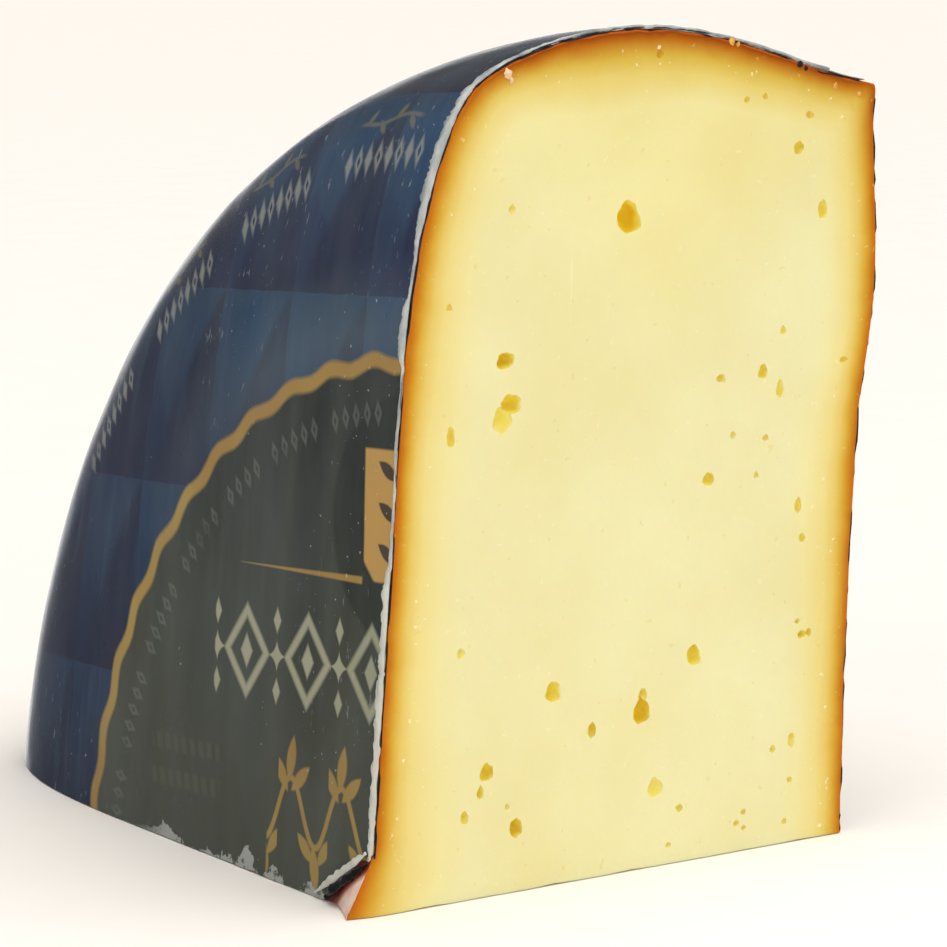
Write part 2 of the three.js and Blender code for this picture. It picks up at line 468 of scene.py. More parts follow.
def grain(tree, scale, detail=2, rough=0.5, squash=(1, 1, 1), distort=0.0):
    """Noise that stays put on the piece. The scale is in grains to the metre."""
    coordinate = node(tree, "ShaderNodeTexCoord").outputs["Object"]
    mapping = node(tree, "ShaderNodeMapping")
    mapping.inputs["Scale"].default_value = squash
    tree.links.new(coordinate, mapping.inputs[0])
    made = node(tree, "ShaderNodeTexNoise")
    tree.links.new(mapping.outputs[0], made.inputs["Vector"])
    made.inputs["Scale"].default_value = scale
    made.inputs["Detail"].default_value = detail
    made.inputs["Roughness"].default_value = rough
    made.inputs["Distortion"].default_value = distort
    return made.outputs[0]


def bump(tree, shader, height, strength, distance):
    made = node(tree, "ShaderNodeBump")
    made.inputs["Strength"].default_value = strength
    made.inputs["Distance"].default_value = distance * mm
    tree.links.new(height, made.inputs["Height"])
    tree.links.new(made.outputs[0], shader.inputs["Normal"])


def grey(level):
    return (level, level, level, 1)


def apart(tree, source):
    """The three parts of a place or a note, each on its own socket."""
    made = node(tree, "ShaderNodeSeparateXYZ")
    tree.links.new(source, made.inputs[0])
    return made.outputs


def noted(tree, name):
    """The three numbers that were noted on each vertex."""
    return apart(tree, node(tree, "ShaderNodeAttribute", attribute_name=name).outputs["Vector"])


def spot_on(tree):
    """The place of a point on the piece, in metres."""
    return apart(tree, node(tree, "ShaderNodeTexCoord").outputs["Object"])


paste, tree, shader = material("ripened_paste")
ripe, top, hollow = noted(tree, "ripeness")
ripe = math_node(tree, "ADD", ripe, math_node(tree, "MULTIPLY", math_node(
    tree, "SUBTRACT", grain(tree, 160, 3), 0.5), 1.7))
ripe = math_node(tree, "MAXIMUM", ripe, 0.0)
depth_in = math_node(tree, "DIVIDE", ripe, 20.0)
side = ramp(tree, depth_in, [
    (0.0, dye(192, 100, 8)), (0.05, dye(200, 122, 14)), (0.10, dye(208, 150, 38)),
    (0.17, dye(220, 178, 68)), (0.26, dye(230, 203, 110)), (0.40, dye(236, 220, 144)),
    (0.7, dye(238, 231, 172)), (1.0, dye(237, 233, 184))])
rim = ramp(tree, depth_in, [
    (0.0, dye(118, 40, 6)), (0.012, dye(206, 100, 30)), (0.035, dye(150, 66, 6)),
    (0.10, dye(186, 110, 18)), (0.18, dye(202, 152, 50)), (0.27, dye(217, 186, 78)),
    (0.42, dye(230, 210, 122)), (0.75, dye(238, 231, 170))])
shade = blend(tree, top, side, rim)
cloud = ramp(tree, grain(tree, 26, 3, 0.55), [(0.3, dye(244, 234, 204)), (0.72, dye(255, 255, 255))])
shade = blend(tree, 0.55, shade, cloud, "MULTIPLY")
edge_glow = ramp(tree, depth_in, [(0.1, grey(0.05)), (0.3, grey(0.6)), (0.6, grey(0.25))])
crystals = ramp(tree, grain(tree, 760, 1), [(0.735, grey(0)), (0.77, grey(1))])
shade = blend(tree, math_node(tree, "MULTIPLY", crystals, edge_glow), shade, dye(253, 246, 214))
scratch = ramp(tree, grain(tree, 300, 2, 0.5, squash=(1.6, 1, 0.10), distort=0.6), [
    (0.70, grey(0)), (0.76, grey(1))])
scratch = math_node(tree, "MULTIPLY", scratch, ramp(tree, grain(tree, 18, 1), [
    (0.55, grey(0)), (0.66, grey(0.32))]))
shade = blend(tree, scratch, shade, dye(252, 244, 206))
pinholes = ramp(tree, grain(tree, 560, 1, 0.4), [(0.235, grey(0.30)), (0.262, grey(0))])
shade = blend(tree, pinholes, shade, dye(222, 200, 104))
# Painted shade in the eyes: the deeper the paste lies below the cut, the yellower and darker it is
# multiplied.
painted_eye_shade = ramp(tree, hollow, [
    (0.0, dye(255, 255, 255)), (0.12, dye(255, 247, 182)), (0.45, dye(255, 238, 116)),
    (1.0, dye(254, 219, 56))])
shade = blend(tree, 1.0, shade, painted_eye_shade, "MULTIPLY")
feed(tree, shader.inputs["Base Color"], shade)
shader.inputs["Roughness"].default_value = 0.42
shader.inputs["Specular IOR Level"].default_value = 0.12
shader.inputs["Subsurface Weight"].default_value = 0.30
shader.inputs["Subsurface Radius"].default_value = (1.0, 0.62, 0.25)
shader.inputs["Subsurface Scale"].default_value = 3.2 * mm
fine = math_node(tree, "ADD", grain(tree, 900, 3, 0.6), math_node(
    tree, "MULTIPLY", grain(tree, 190, 2), 1.5))
bump(tree, shader, fine, 0.35, 0.25)

rind, tree, shader = material("rind_under_coating")
shade = ramp(tree, grain(tree, 300, 4, 0.6), [
    (0.3, dye(236, 196, 172)), (0.55, dye(248, 218, 200)), (0.75, dye(252, 228, 214))])
# Painted shadow of the rolled flap: the pink rind turns red-brown towards the tear line.
read = node(tree, "ShaderNodeAttribute", attribute_name="tear")
painted_flap_shadow = ramp(tree, math_node(tree, "DIVIDE", read.outputs["Fac"], tear_height), [
    (0.01, dye(96, 46, 34)), (0.12, dye(170, 98, 72)), (0.26, dye(255, 255, 255))])
shade = blend(tree, 1.0, shade, painted_flap_shadow, "MULTIPLY")
feed(tree, shader.inputs["Base Color"], shade)
shader.inputs["Roughness"].default_value = 0.5
shader.inputs["Subsurface Weight"].default_value = 0.2
shader.inputs["Subsurface Radius"].default_value = (1.0, 0.5, 0.3)
shader.inputs["Subsurface Scale"].default_value = 2 * mm
bump(tree, shader, grain(tree, 700, 3), 0.4, 0.3)
cheese.data.materials.clear()
cheese.data.materials.append(paste)
cheese.data.materials.append(rind)
for face in cheese.data.polygons:
    if all(skin[index] for index in face.vertices) and face.normal.y > -0.9 and face.normal.z > -0.9:
        face.material_index = 1
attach(cheese, "root")
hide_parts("cheese")


# ---- Coating ----
# A thin dark skin painted on the whole rind while the cheese ripened. It is left satin and
# finely wrinkled, and at the knife cuts it chips into small flakes.
tear_line = Vector((0, tear_back, tear_up))


def at_front(face):
    return face.calc_center_median().x < foot.x + 20 * mm


def without_corner(piece, height):
    """Takes off the torn corner below a slanting line, height in mm square to it."""
    knife(piece, foot + tear_line * height * mm, -tear_line, faces=at_front)


def thicken(piece, wall):
    """Gives a skin its wall, inwards, in mm."""
    pick(piece)
    solid = piece.modifiers.new("wall", "SOLIDIFY")
    solid.thickness = wall * mm
    solid.offset = -1
    bpy.ops.object.modifier_apply(modifier=solid.name)
    bpy.ops.object.shade_smooth_by_angle(angle=math.radians(50))


def trim_to_wedge(piece):
    """Cuts a whole turned skin down to the quarter, upright and along the floor."""
    knife(piece, (0, cut_y, 0), (0, -1, 0))
    knife(piece, (0, 0, 0), (0, 0, -1))


def ragged(piece, bite, seed=0.0):
    """Bites the knife edges of a skin back unevenly, up to so many mm."""
    reach = 1.5
    floor_bite = 0.3
    here = places(piece)
    for index, (x, y, z) in enumerate(here):
        if y < reach:
            chip = wobble(x * 0.9, seed, z * 0.9) + 0.6 * wobble(x * 2.7, seed, z * 2.7)
            here[index, 1] += max(0, chip) * bite * (1 - y / reach)
        if z < reach:
            chip = wobble(x * 0.9, y * 0.9, seed + 3) + 0.6 * wobble(x * 2.7, y * 2.7, seed)
            here[index, 2] += max(0, chip) * floor_bite * (1 - z / reach)
    put_places(piece, here)
    piece.data.update()


coating = wheel_skin("coating", 180, 16, proud=1.04)
trim_to_wedge(coating)
without_corner(coating, 8.7)
for step in (0.8, 1.6):
    knife(coating, (0, cut_y + step * mm, 0), (0, -1, 0), keep=True)
ragged(coating, 0.9)
here = places(coating)
normals = facings(coating)
for index, normal in enumerate(normals):
    x, y, z = here[index]
    wrinkle = wobble(x / 2.2, y / 2.6, z / 2.2) * 0.10 + noise.noise(Vector((x, y, z)) / 16) * 0.14
    if x > 60 and y < 4:
        wrinkle -= (1 - y / 4) * (0.12 + 0.55 * wobble(x / 2, 8, z / 3))
    here[index] += normal * (min(wrinkle, 0.10) - 0.16)
put_places(coating, here)
thicken(coating, 0.3)

dark, tree, shader = material("dark_coating")
mottle = grain(tree, 55, 4, 0.6)
shade = ramp(tree, mottle, [(0.3, dye(24, 22, 24)), (0.55, dye(38, 34, 33)), (0.78, dye(66, 52, 42))])
chalk = ramp(tree, grain(tree, 420, 3, 0.65), [(0.62, grey(0)), (0.72, grey(1))])
shade = blend(tree, math_node(tree, "MULTIPLY", chalk, 0.22), shade, dye(150, 146, 138))
feed(tree, shader.inputs["Base Color"], shade)
feed(tree, shader.inputs["Roughness"], ramp(tree, mottle, [(0.3, grey(0.30)), (0.7, grey(0.52))]))
shader.inputs["Specular IOR Level"].default_value = 0.35
bump(tree, shader, math_node(tree, "ADD", grain(tree, 380, 4, 0.6), math_node(
    tree, "MULTIPLY", grain(tree, 90, 3), 2)), 0.5, 0.3)
coating.data.materials.append(dark)
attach(coating, "root")
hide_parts("rind_coating")


# ---- Label ----
# A glossy shrunk film printed on its inner side, drawn over the flat and the shoulder of the
# wheel. A gold scalloped ring holds a grey-green round, with blue harlequin rows outside it.
label_end = 69.7
points_to_lip = 5
film = wheel_skin("label_film", 240, 40, proud=1.3, points=points_to_lip)
trim_to_wedge(film)
without_corner(film, 9.1)
wheel_back = wheel_place.to_3x3() @ Vector((1, 0, 0))
end_place = wheel_place @ Vector((label_end * mm, 0, 0))
knife(film, end_place, wheel_back)
for step in (0.7, 1.5, 2.6):
    knife(film, (0, cut_y + step * mm, 0), (0, -1, 0), keep=True)
    knife(film, (0, 0, step * mm), (0, 0, -1), keep=True)

# The print is laid out flat: to the right of and up from the wheel's middle, in mm.
print_turn = math.radians(3.67)


def lay_print(piece):
    """Notes where each point of a film falls on the flat print."""
    depth, radius, turn = wheel_places(piece)
    _, run = from_outline(depth, radius)
    run = np.where(depth < 0.5, radius, run)
    angle = turn + print_turn
    note(piece, "print_place", np.stack([-run * np.cos(angle), run * np.sin(angle), depth], axis=1))


lay_print(film)
here = places(film)
normals = facings(film)
for index, normal in enumerate(normals):
    x, y, z = here[index]
    slack = 0.10 * wobble(x / 5, y / 6, z / 9) + 0.22 * wobble(x / 19, y / 23, z / 31)
    here[index] += normal * (max(slack, -0.08) - 0.10)
put_places(film, here)
ragged(film, 0.5, seed=7.0)
thicken(film, 0.2)


class Stroke:
    """A number that varies over the print. Adding and comparing them draws the artwork."""

    def __init__(self, socket):
        self.socket = socket

    def join(self, operation, *others):
        sockets = [other.socket if isinstance(other, Stroke) else other for other in others]
        return Stroke(math_node(self.socket.id_data, operation, self.socket, *sockets))

    def __add__(self, other):
        return self.join("ADD", other)

    def __sub__(self, other):
        return self.join("SUBTRACT", other)

    def __mul__(self, other):
        return self.join("MULTIPLY", other)

    def __truediv__(self, other):
        return self.join("DIVIDE", other)

    def size(self):
        return self.join("ABSOLUTE")

    def fract(self):
        return self.join("FRACT")

    def floor(self):
        return self.join("FLOOR")

    def most(self, other):
        return self.join("MAXIMUM", other)

    def least(self, other):
        return self.join("MINIMUM", other)

    def wave(self):
        return self.join("SINE")

    def step(self, edge, slope):
        """Goes between 0 and 1 at an edge, up or down by the slope."""
        return (self.join("SUBTRACT", edge) * slope + 0.5).most(0.0).least(1.0)

    def below(self, edge, blur=0.4):
        """1 where this is less than the edge, softened over a blur in mm."""
        return self.step(edge, -1.0 / blur)

    def above(self, edge, blur=0.4):
        return self.step(edge, 1.0 / blur)


def between(stroke, low, high, blur=0.4):
    return stroke.above(low, blur) * stroke.below(high, blur)


def lozenge(right, up, half_width, half_height):
    """How far out a point is on a lozenge: 1 on its edge, 0 in its middle."""
    return right.size() / half_width + up.size() / half_height


def almond(across, height, lean, long, broad):
    """A leaf: two arcs that meet in points, leaning by so many degrees."""
    c, s = math.cos(math.radians(lean)), math.sin(math.radians(lean))
    along = across * c + height * s
    beside = height * c - across * s
    swell = along / long
    return beside.size() / broad + swell * swell


printed, tree, shader = material("printed_film")
right, up = (Stroke(socket) for socket in noted(tree, "print_place")[:2])
reach = Stroke(math_node(tree, "SQRT", (right * right + up * up).socket))
turn = Stroke(math_node(tree, "ARCTAN2", up.socket, (right * -1.0).socket)) * (180 / math.pi)
blur_noise = Stroke(grain(tree, 75, 3, 0.6)) - 0.5
streak = Stroke(grain(tree, 60, 3, 0.6, squash=(1, 3.2, 0.35)))
patch = Stroke(grain(tree, 22, 2, 0.5))

# Blue harlequin: rows with long spikes hanging into them, dark at the foot of each row.
row_height = 38.3
column = 26.2
row = (up - 5.0 + blur_noise * 1.2) / row_height
in_row = row.fract()
steel = blend(tree, streak.above(0.5, 0.5).socket, dye(60, 96, 120), dye(34, 70, 118))
foot_of_row = in_row.below(0.42, 0.75)
ground = blend(tree, (foot_of_row * 0.62).socket, steel, dye(26, 36, 78))
slide = (right + 14.2 + blur_noise * 2.0) / column
across_column = slide.fract()
spike_width = (in_row * -1.0 + 1.0).join("POWER", 0.85) * 0.92
spike = (across_column * -1.0 + 1.0).below(spike_width.socket, 0.10) * in_row.below(0.995, 0.02)
spike_shade = blend(tree, patch.above(0.5, 0.3).socket, dye(42, 38, 60), dye(24, 26, 76))
ground = blend(tree, (spike * 0.78).socket, ground, spike_shade)
seam = across_column.below(0.035, 0.03) * in_row.below(0.6, 0.4)
ground = blend(tree, (seam * 0.35).socket, ground, dye(70, 84, 96))
kite_width = (in_row - 0.10).size().join("MULTIPLY", -1.35) + 0.55
kite = ((slide + 0.42).fract() - 0.5).size().below(kite_width.socket, 0.08)
deep = patch.above(0.48, 0.2)
ground = blend(tree, (kite * deep * 0.55).socket, ground, dye(12, 22, 84))
smoke = Stroke(grain(tree, 17, 3, 0.6)).above(0.5, 0.3) * 0.45
ground = blend(tree, smoke.socket, ground, dye(48, 58, 70))
# Painted shade: the harlequin is darker towards the far left of the print.
painted_far_shade = (right * -1.0).above(78.0, 60.0) * 0.6
ground = blend(tree, painted_far_shade.socket, ground, dye(8, 26, 62))
halo = between(reach, 106.0, 122.0, 14.0) * turn.above(52.0, 34.0) * 0.32
ground = blend(tree, halo.socket, ground, dye(120, 134, 138))
crown_shade = reach.above(159.0, 14.0) * 0.8
ground = blend(tree, crown_shade.socket, ground, dye(20, 26, 32))
glints = streak.above(0.62, 0.2) * in_row.above(0.35, 0.6) * 0.5
ground = blend(tree, glints.socket, ground, dye(62, 98, 118))

# The row of small ornaments and the gold curl outside it, round the shoulder.
group_turn = 14.65
place_round = (turn - 9.8) / group_turn
round_cell = (place_round - 0.5).fract() - 0.5
arc = round_cell * group_turn
small = arc * (1 / 1.28)
small_cell = small.fract() - 0.5
on_shoulder = turn.above(33.0, 6.0)
ornament = lozenge(small_cell * 3.2, reach - 146.6, 1.2, 3.1)
filled = (small.floor() * 0.5).fract().below(0.25, 0.1)
ticks = ornament.below(1.0, 0.7) * arc.size().below(5.1, 0.2) * on_shoulder
ticks = ticks * (ornament.above(0.42, 0.25) + filled).least(1.0)
ground = blend(tree, (ticks * 0.55).socket, ground, dye(196, 194, 176))
twig_reach = 154.0
twig = reach - twig_reach - (arc * 1.1).wave() * 0.5
sprig = twig.size().below(0.4, 0.5) * between(arc, -4.0, 3.4, 0.8) * on_shoulder
for spot, lean in ((-3.0, 50), (-1.2, 128), (0.6, 50), (2.4, 128)):
    leaf_side = reach - twig_reach - (1.3 if lean < 90 else -1.3)
    small_leaf = almond((arc - spot) * 2.7, leaf_side, lean, 2.1, 0.75).below(1.0, 0.6)
    sprig = sprig.most(small_leaf * on_shoulder)
ground = blend(tree, (sprig * 0.34).socket, ground, dye(176, 160, 96))

# The grey-green round inside the ring, with bands of sheen and a darker disc behind the panel.
sheen = Stroke(grain(tree, 36, 3, 0.55, squash=(1, 2.6, 0.25)))
round_shade = ramp(tree, sheen.socket, [
    (0.28, dye(52, 57, 52)), (0.46, dye(64, 69, 60)), (0.56, dye(73, 77, 67)),
    (0.76, dye(84, 87, 74))])
disc = (right * right + (up - 80.0) * (up - 80.0)).join("SQRT")
# Painted shade: the round is lighter towards the bottom and darker towards the top.
round_shade = blend(tree, (up.below(50.0, 90.0) * 0.62).socket, round_shade, dye(100, 100, 82))
round_shade = blend(tree, (up.above(85.0, 60.0) * 0.4).socket, round_shade, dye(40, 44, 42))
round_shade = blend(tree, (disc.below(22.8, 1.2) * 0.5).socket, round_shade, dye(38, 42, 38))
mellow = Stroke(grain(tree, 30, 3)).above(0.5, 0.3)
gold = blend(tree, mellow.socket, dye(206, 172, 84), dye(192, 148, 72))

# Small faint marks that follow the ring on its inner side.
mark_angle = (turn - 2.0) / 2.05
mark_cell = (mark_angle.fract() - 0.5) * 3.6
present = (mark_angle.floor() * 0.173).fract().above(0.16, 0.02)
mark = lozenge(mark_cell, reach - 99.6, 1.15, 2.3)
marks = (mark.below(1.0, 0.5) * mark.above(0.40, 0.5)) * present * between(turn, 8.0, 86.5, 1.0)
marks = marks * Stroke(grain(tree, 90, 2)).above(0.36, 0.25)
round_shade = blend(tree, (marks * 0.36).socket, round_shade, dye(150, 152, 138))

# Two rows of faint dashes.
dash = (right + up * 0.2) / 3.1
dashes = (dash.fract() - 0.5).size().below(0.3, 0.25) * between(right, -85.0, -60.0, 1.5)
rows_of_dashes = between(up, 30.2, 33.4, 0.8).most(between(up, 23.2, 26.6, 0.8))
round_shade = blend(tree, (dashes * rows_of_dashes * 0.28).socket, round_shade, dye(120, 118, 92))

# A tapered gold rule.
taper = (right + 53.8) / 41.0
rule = (up - 68.9).size().below((taper * 0.68).socket, 0.35) * between(right, -53.8, -12.8, 0.6)
round_shade = blend(tree, (rule * 0.9).socket, round_shade, gold)

# A band of tall cream lozenges, with a small solid one in each and a star between two.
faded = Stroke(grain(tree, 45, 2)).above(0.5, 0.3)
cream = blend(tree, faded.socket, dye(196, 190, 156), dye(186, 184, 150))
pitch = 21.0
tall = (((right + 9.2) / pitch + 0.5).fract() - 0.5) * pitch
middle = up - 52.4
big = lozenge(tall, middle, 7.9, 9.0)
frame_line = between(big, 0.71, 1.0, 0.14)
pip = lozenge(tall, middle, 2.0, 3.2).below(1.0, 0.35)
star_across = (((right + 19.7) / pitch + 0.5).fract() - 0.5) * pitch
star = (star_across.size().join("POWER", 0.6) + middle.size().join("POWER", 0.6)).below(1.95, 0.3)
leafy = lozenge(star_across, middle.size() - 6.6, 1.3, 2.4).below(1.0, 0.4)
band = frame_line.most(pip).most(star).most(leafy) * between(right, -62.5, 20.0, 0.5)
round_shade = blend(tree, (band * 0.93).socket, round_shade, cream)

# A gold vine under the band: a waving stem with pairs of almond leaves.
wave_length = 17.0
wave_height = 6.0
phase = (right + 5.0) / wave_length
stem_height = (phase * (2 * math.pi)).wave() * wave_height + 24.5
stem_slope = (phase * (2 * math.pi) + math.pi / 2).wave() * (wave_height * 2 * math.pi / wave_length)
lean_of_stem = (stem_slope * stem_slope + 1.0).join("SQRT")
stem = ((up - stem_height).size() / lean_of_stem).below(0.62, 0.4)
leaf_cell = (phase.fract() - 0.5) * wave_length
leaf_places = [
    (4.2, 34.0, 80, 4.4, 1.5), (7.4, 31.0, 125, 3.9, 1.4), (1.0, 30.6, 40, 3.9, 1.4),
    (-4.2, 14.6, 100, 4.4, 1.5), (-7.4, 18.0, 50, 3.6, 1.3), (-1.0, 18.0, 135, 3.6, 1.3)]
vine = stem
for aside, leaf_up, lean, long, broad in leaf_places:
    vine = vine.most(almond(leaf_cell + aside, up - leaf_up, lean, long, broad).below(1.0, 0.35))
vine = vine * between(right, -42.6, 20.0, 0.6) * up.above(6.0, 1.0)
round_shade = blend(tree, (vine * 0.80).socket, round_shade, gold)

# A plain gold panel at the middle, with dark almond pairs down it.
panel = between(right, -12.4, 12.4, 0.5) * between(up, 69.0, 92.8, 0.5)
panel = panel * lozenge(right, up - 84.0, 24.0, 24.0).below(1.0, 0.04)
round_shade = blend(tree, (panel * 0.95).socket, round_shade, dye(226, 174, 92))
pair_height = 7.4
pair = (((up - 70.5) / pair_height).fract() - 0.5) * pair_height
side_leaf = almond(right.size() - 4.9, pair, 28, 3.4, 1.25).below(1.0, 0.3)
side_leaf = side_leaf.most(lozenge(right, pair, 1.2, 2.6).below(1.0, 0.3))
round_shade = blend(tree, (side_leaf * panel * 0.9).socket, round_shade, dye(46, 44, 46))

# The scalloped ring.
ring_reach = 108.5
scallops = 48
ring_line = (turn * (scallops * math.pi / 180)).wave() * 0.62 + blur_noise * 0.9 + ring_reach
inside = (reach - ring_line).below(0.0, 0.7)
artwork = blend(tree, inside.socket, ground, round_shade)
ring = (reach - ring_line).size().below(1.42, 0.9)
artwork = blend(tree, (ring * 0.95).socket, artwork, gold)
ink_depth = (0.70, 0.74, 0.79, 1)
artwork = blend(tree, 1.0, artwork, ink_depth, "MULTIPLY")

# Wear: a milky bloom, white scuffs and specks, and flaked ink along the floor.
_, back_on, height_on = spot_on(tree)
height = Stroke(height_on) * (1 / mm)
bloom = Stroke(grain(tree, 30, 4, 0.6, squash=(1, 1.6, 0.7))).above(0.52, 0.4) * 0.10
artwork = blend(tree, bloom.socket, artwork, dye(150, 158, 166))
speckled = Stroke(grain(tree, 26, 2)).above(0.60, 0.10)
speck = Stroke(grain(tree, 860, 2, 0.5)).above(0.735, 0.03) * speckled
artwork = blend(tree, (speck * 0.65).socket, artwork, dye(200, 206, 210))
scuffed = Stroke(grain(tree, 14, 1)).above(0.58, 0.1)
scuff = Stroke(grain(tree, 420, 3, 0.6, squash=(1, 2.0, 0.6))).above(0.68, 0.05) * scuffed
artwork = blend(tree, (scuff * 0.38).socket, artwork, dye(176, 182, 186))
flake_top = (Stroke(grain(tree, 150, 4, 0.65)) - 0.47) * 17.0
along_floor = (Stroke(back_on) - (foot.y + 0.078)).below(0.0, 0.012)
flaked = (height - flake_top * along_floor).below(0.3, 0.3) * along_floor
torn = Stroke(grain(tree, 480, 3, 0.6)).above(0.40, 0.1)
artwork = blend(tree, (flaked * torn * 0.9).socket, artwork, dye(168, 172, 166))
feed(tree, shader.inputs["Base Color"], artwork)
gloss = Stroke(grain(tree, 40, 3, 0.5)) * 0.22 + 0.14 + flaked * 0.3
feed(tree, shader.inputs["Roughness"], gloss.socket)
shader.inputs["Specular IOR Level"].default_value = 0.40
ripple = Stroke(grain(tree, 55, 3, 0.5, squash=(1, 1.3, 0.6))) * 1.1 + flaked * torn * 0.7
bump(tree, shader, ripple.socket, 0.35, 0.35)
film.data.materials.append(printed)
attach(film, "root")
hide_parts("front_label")


# ---- Frayed film ----
# Where the knife went through, the film's pale backing shows as a ragged strip that stands a
# little off the rind. It is wide in some places and nearly gone in others.
frayed_widths = [
    (0, 1.7), (14, 1.6), (22, 2.0), (30, 1.7), (40, 2.1), (50, 1.6), (60, 1.9), (64, 0.5),
    (72, 0.35), (80, 0.5), (86, 0.9), (92, 0.4), (99, 0.3), (101, 1.7), (105, 2.3), (109, 1.9),
    (112, 0.7), (118, 0.6), (121, 1.4), (127, 2.3), (134, 2.7), (141, 2.6), (147, 2.2), (152, 1.3),
    (156, 0.8), (158, 0.6)]
strip_width = 3.0
frayed = wheel_skin("frayed_edge", 120, 50, proud=1.4, points=points_to_lip)
trim_to_wedge(frayed)
knife(frayed, foot + Vector((0, strip_width * mm, 0)), (0, 1, 0))
without_corner(frayed, 9.3)
knife(frayed, end_place + wheel_back * 22 * mm, wheel_back)
edit(frayed)
bpy.ops.mesh.subdivide(number_cuts=3)
done()
here = places(frayed)
normals = facings(frayed)
heights, widths = zip(*frayed_widths)
for index, (x, y, z) in enumerate(here):
    along = x * 0.8 + z
    wide = np.interp(z, heights, widths)
    if x > 36:
        wide = 0.8 + 0.7 * wobble(x / 3, 4, 4)
    wide *= 1 + 0.4 * wobble(along / 2.1, 1, 6) + 0.25 * wobble(along / 0.7, 7, 6)
    inward = y / strip_width
    here[index, 1] = inward * max(0.15, wide) - 0.12 * (1 - inward)
    bead = 0.30 * math.sin(math.pi * min(1, inward * 1.15)) * min(1.4, wide)
    curl = wobble(along / 3.0, inward * 2, 2) * 0.25
    here[index] += normals[index] * (bead + curl * (0.4 + inward) - 0.10 * inward)
put_places(frayed, here)
thicken(frayed, 0.42)

backing, tree, shader = material("pale_film_backing")
shade = ramp(tree, grain(tree, 240, 4, 0.6, squash=(1, 1, 0.5)), [
    (0.28, dye(118, 124, 128)), (0.45, dye(166, 172, 172)), (0.62, dye(200, 204, 198)),
    (0.8, dye(226, 226, 216))])
low_part = Stroke(spot_on(tree)[2]).below(0.066, 0.012) * 0.55
shade = blend(tree, low_part.socket, shade, dye(224, 222, 208))
feed(tree, shader.inputs["Base Color"], shade)
shader.inputs["Roughness"].default_value = 0.38
shader.inputs["Subsurface Weight"].default_value = 0.15
shader.inputs["Subsurface Radius"].default_value = (1, 1, 1)
shader.inputs["Subsurface Scale"].default_value = 0.6 * mm
bump(tree, shader, grain(tree, 700, 3, 0.6), 0.5, 0.25)
frayed.data.materials.append(backing)
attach(frayed, "root")


# ---- Torn corner ----
# The label and the coating were torn off the corner by the knife. The torn film shows as a pale
# ragged edge, and below it a tongue of glossy coating is rolled back on itself.
def rolled(name, start, end, half_width, turns, lift, seed, rows=90, ribs=22):
    """A ragged tongue of skin along a line on the label's face, rolled over lengthwise."""
    bpy.ops.object.select_all(action="DESELECT")
    bpy.ops.mesh.primitive_grid_add(x_subdivisions=rows, y_subdivisions=ribs, size=2)
    piece = bpy.context.object
    piece.name = name
    line = Vector(end) - Vector(start)
    square = Vector((0, line.z, -line.y)).normalized() * -1
    for vertex in piece.data.vertices:
        along, over = (vertex.co.x + 1) / 2, (vertex.co.y + 1) / 2
        taper = min(1, 4 * along + 0.15, 3 * (1 - along) + 0.15)
        rough = wobble(along * 3.2, over * 1.5, seed)
        wide = half_width * taper * (1 + 0.3 * rough)
        sweep = over * turns * 2 * math.pi
        across = wide * (math.sin(sweep) if turns else over * 2 - 1)
        off = wide * (1 - math.cos(sweep)) if turns else 0.0
        fray = 0.3 * wobble(along * 14, seed, over * 3) * over
        ripple = 0.10 * wobble(along * 9, over * 3, seed)
        spot = Vector(start) + line * along + square * (across + fray)
        vertex.co = foot + (spot + Vector((-lift - off + ripple, 0, 0))) * mm
    thicken(piece, 0.25)
    edit(piece)
    bpy.ops.mesh.normals_make_consistent(inside=False)
    done()
    return piece


torn_edge = rolled("torn_film_edge", (0.3, 0.5, 11.8), (0.3, 17.3, 1.0), 0.72, 0, 0.55, 3.0, ribs=10)
torn_edge.data.materials.append(backing)
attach(torn_edge, "root")

flap = rolled("coating_flap", (0.3, 0.7, 9.6), (0.3, 14.6, 0.7), 0.86, 0.78, 0.0, 8.0)
glossy, tree, shader = material("glossy_dark_flap")
shade = ramp(tree, grain(tree, 500, 3), [(0.35, dye(5, 5, 6)), (0.7, dye(15, 14, 15))])
feed(tree, shader.inputs["Base Color"], shade)
shader.inputs["Roughness"].default_value = 0.14
bump(tree, shader, grain(tree, 300, 2, 0.5), 0.25, 0.2)
flap.data.materials.append(glossy)
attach(flap, "root")


# ---- Clear film over the rim ----
# Past the end of the print the clear film runs on to the lip, crinkled and milky, over the
# dark coating.
clear = wheel_skin("clear_film", 240, 26, proud=1.22, points=points_to_lip)
trim_to_wedge(clear)
knife(clear, end_place - wheel_back * 3 * mm, -wheel_back)
knife(clear, end_place + wheel_back * 31 * mm, wheel_back)
edit(clear)
bpy.ops.mesh.subdivide(number_cuts=1)
done()
here = places(clear)
normals = facings(clear)
for index, (x, y, z) in enumerate(here):
    crinkle = 0.16 * abs(wobble(x / 3.5, y / 9, z / 9)) + 0.12 * wobble(x / 1.4, y / 3, z)
    here[index] += normals[index] * (crinkle - 0.12)
put_places(clear, here)
ragged(clear, 1.2, seed=4.0)
thicken(clear, 0.16)
milky, tree, shader = material("milky_clear_film")
crease = grain(tree, 70, 5, 0.68, squash=(3.4, 0.8, 0.8), distort=0.8)
fold = math_node(tree, "ABSOLUTE", math_node(tree, "SUBTRACT", crease, 0.5))
whitened = Stroke(spot_on(tree)[1]).below(foot.y + 0.009, 0.012) * 0.75
lit = ramp(tree, fold, [
    (0.0, dye(98, 95, 92)), (0.012, dye(70, 67, 66)), (0.05, dye(50, 47, 47)), (0.2, dye(38, 35, 36))])
pale = ramp(tree, crease, [(0.3, dye(90, 88, 88)), (0.5, dye(158, 154, 150)), (0.7, dye(208, 204, 196))])
shade = blend(tree, whitened.socket, lit, pale)
